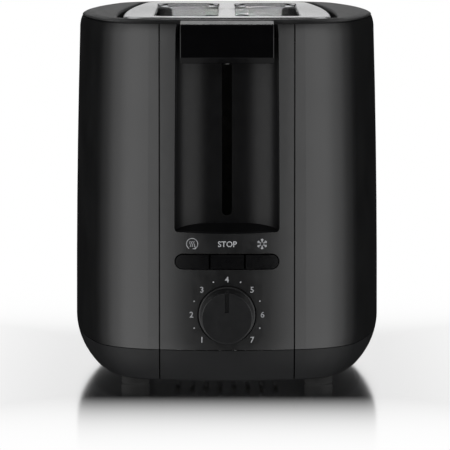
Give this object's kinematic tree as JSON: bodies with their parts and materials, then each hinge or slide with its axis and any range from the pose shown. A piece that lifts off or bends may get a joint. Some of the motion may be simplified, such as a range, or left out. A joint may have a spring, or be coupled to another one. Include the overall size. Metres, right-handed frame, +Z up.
{
  "type": "pop-up toaster",
  "caption": "Compact oval pop-up toaster with side-by-side bread slots, front push-down lever, function buttons and browning knob.",
  "frame": {"origin": "middle of the footprint on the table, under the overall box", "axes": "+Z up, controls face -Y, +X to the right when facing the controls"},
  "size_m": [0.1764, 0.3052, 0.2089],
  "materials": {
    "painted_shell": "satin black-grey paint",
    "panel_plastic": "satin black-grey moulded plastic",
    "base_plastic": "matt black moulded plastic",
    "rim_plastic": "satin black heat-resistant plastic",
    "top_steel": "brushed and rolled sheet",
    "lever_plastic": "gloss black",
    "button_plastic": "satin-gloss black",
    "knob_plastic": "satin black",
    "foot_rubber": "matt",
    "plated_steel": "zinc-plated sheet",
    "aluminised_steel": "dull reflector sheet",
    "wire_steel": "bright drawn wire",
    "spring_steel": "drawn spring wire",
    "mica": "pressed mica card",
    "nichrome": "heat-darkened ribbon",
    "circuit_board": "glass-epoxy board with solder mask",
    "inner_plastic": "plain black moulding",
    "terminal_plastic": "cream moulding",
    "copper": "enamelled copper winding",
    "brass": "stamped brass",
    "iron_core": "stamped core",
    "legend_print": "pad-printed light grey ink"
  },
  "bodies": {
    "root": {"left_side_shell": "painted_shell", "right_side_shell": "painted_shell", "front_panel": "panel_plastic", "lever_channel": "inner_plastic", "rear_panel": "panel_plastic", "base_pan": "base_plastic", "front_base_apron": "base_plastic", "rear_base_apron": "base_plastic", "top_rim": "rim_plastic", "top_plate": "top_steel", "return_spring": "spring_steel", "guide_rod": "wire_steel", "chassis_front_plate": "plated_steel", "chassis_rear_plate": "plated_steel", "reflector_left": "aluminised_steel", "reflector_right": "aluminised_steel", "heater_board_left": "mica", "heater_board_centre": "mica", "heater_board_right": "mica", "heater_winding_left": "nichrome", "heater_winding_centre": "nichrome", "heater_winding_right": "nichrome", "crumb_deflector_left": "plated_steel", "crumb_deflector_right": "plated_steel", "button_guide": "inner_plastic", "browning_control": "inner_plastic", "control_board": "circuit_board", "tact_switches": "inner_plastic", "magnet_core": "iron_core", "magnet_coil": "copper", "power_switch": "inner_plastic", "switch_contacts": "brass", "terminal_block": "terminal_plastic", "cord_gland": "inner_plastic", "base_screws": "plated_steel", "foot_left_front": "foot_rubber", "foot_left_rear": "foot_rubber", "foot_right_front": "foot_rubber", "foot_right_rear": "foot_rubber"},
    "carriage": {"lever_handle": "lever_plastic", "carriage_bracket": "plated_steel", "carriage_bush": "inner_plastic", "armature": "plated_steel", "bread_lifter_left": "plated_steel", "bread_lifter_right": "plated_steel"},
    "reheat_button": {"reheat_button": "button_plastic"},
    "stop_button": {"stop_button": "button_plastic"},
    "defrost_button": {"defrost_button": "button_plastic"},
    "knob": {"browning_knob": "knob_plastic", "knob_shaft": "plated_steel"},
    "tray": {"crumb_tray": "plated_steel", "tray_handle": "base_plastic"},
    "guide_left_outer": {"bread_guide_left_outer": "wire_steel"},
    "guide_left_inner": {"bread_guide_left_inner": "wire_steel"},
    "guide_right_inner": {"bread_guide_right_inner": "wire_steel"},
    "guide_right_outer": {"bread_guide_right_outer": "wire_steel"}
  },
  "joints": [
    {"name": "carriage_slide", "type": "slide", "parent": "root", "child": "carriage", "axis": [0, 0, -1], "range_m": [0, 0.082], "stiffness_N_per_m": 60, "springref_m": -0.05, "deforming": ["return_spring"]},
    {"name": "reheat_press", "type": "slide", "parent": "root", "child": "reheat_button", "axis": [0, 1, 0], "range_m": [0, 0.0012], "stiffness_N_per_m": 600, "springref_m": -0.001},
    {"name": "stop_press", "type": "slide", "parent": "root", "child": "stop_button", "axis": [0, 1, 0], "range_m": [0, 0.0012], "stiffness_N_per_m": 600, "springref_m": -0.001},
    {"name": "defrost_press", "type": "slide", "parent": "root", "child": "defrost_button", "axis": [0, 1, 0], "range_m": [0, 0.0012], "stiffness_N_per_m": 600, "springref_m": -0.001},
    {"name": "knob_turn", "type": "hinge", "parent": "root", "child": "knob", "pos_m": [0, -0.13415, 0.0452], "axis": [0, 1, 0], "range_deg": [-135, 135]},
    {"name": "tray_slide", "type": "slide", "parent": "root", "child": "tray", "axis": [0, 1, 0], "range_m": [0, 0.25]},
    {"name": "guide_left_outer_slide", "type": "slide", "parent": "root", "child": "guide_left_outer", "axis": [1, 0, 0], "range_m": [0, 0.0051]},
    {"name": "guide_left_inner_slide", "type": "slide", "parent": "root", "child": "guide_left_inner", "axis": [-1, 0, 0], "range_m": [0, 0.0051]},
    {"name": "guide_right_inner_slide", "type": "slide", "parent": "root", "child": "guide_right_inner", "axis": [1, 0, 0], "range_m": [0, 0.0051]},
    {"name": "guide_right_outer_slide", "type": "slide", "parent": "root", "child": "guide_right_outer", "axis": [-1, 0, 0], "range_m": [0, 0.0051]}
  ],
  "couplings": [
    {"joint": "guide_left_outer_slide", "follows": "carriage_slide", "ratio": 0.060976},
    {"joint": "guide_left_inner_slide", "follows": "carriage_slide", "ratio": 0.060976},
    {"joint": "guide_right_outer_slide", "follows": "carriage_slide", "ratio": 0.060976},
    {"joint": "guide_right_inner_slide", "follows": "carriage_slide", "ratio": 0.060976}
  ]
}
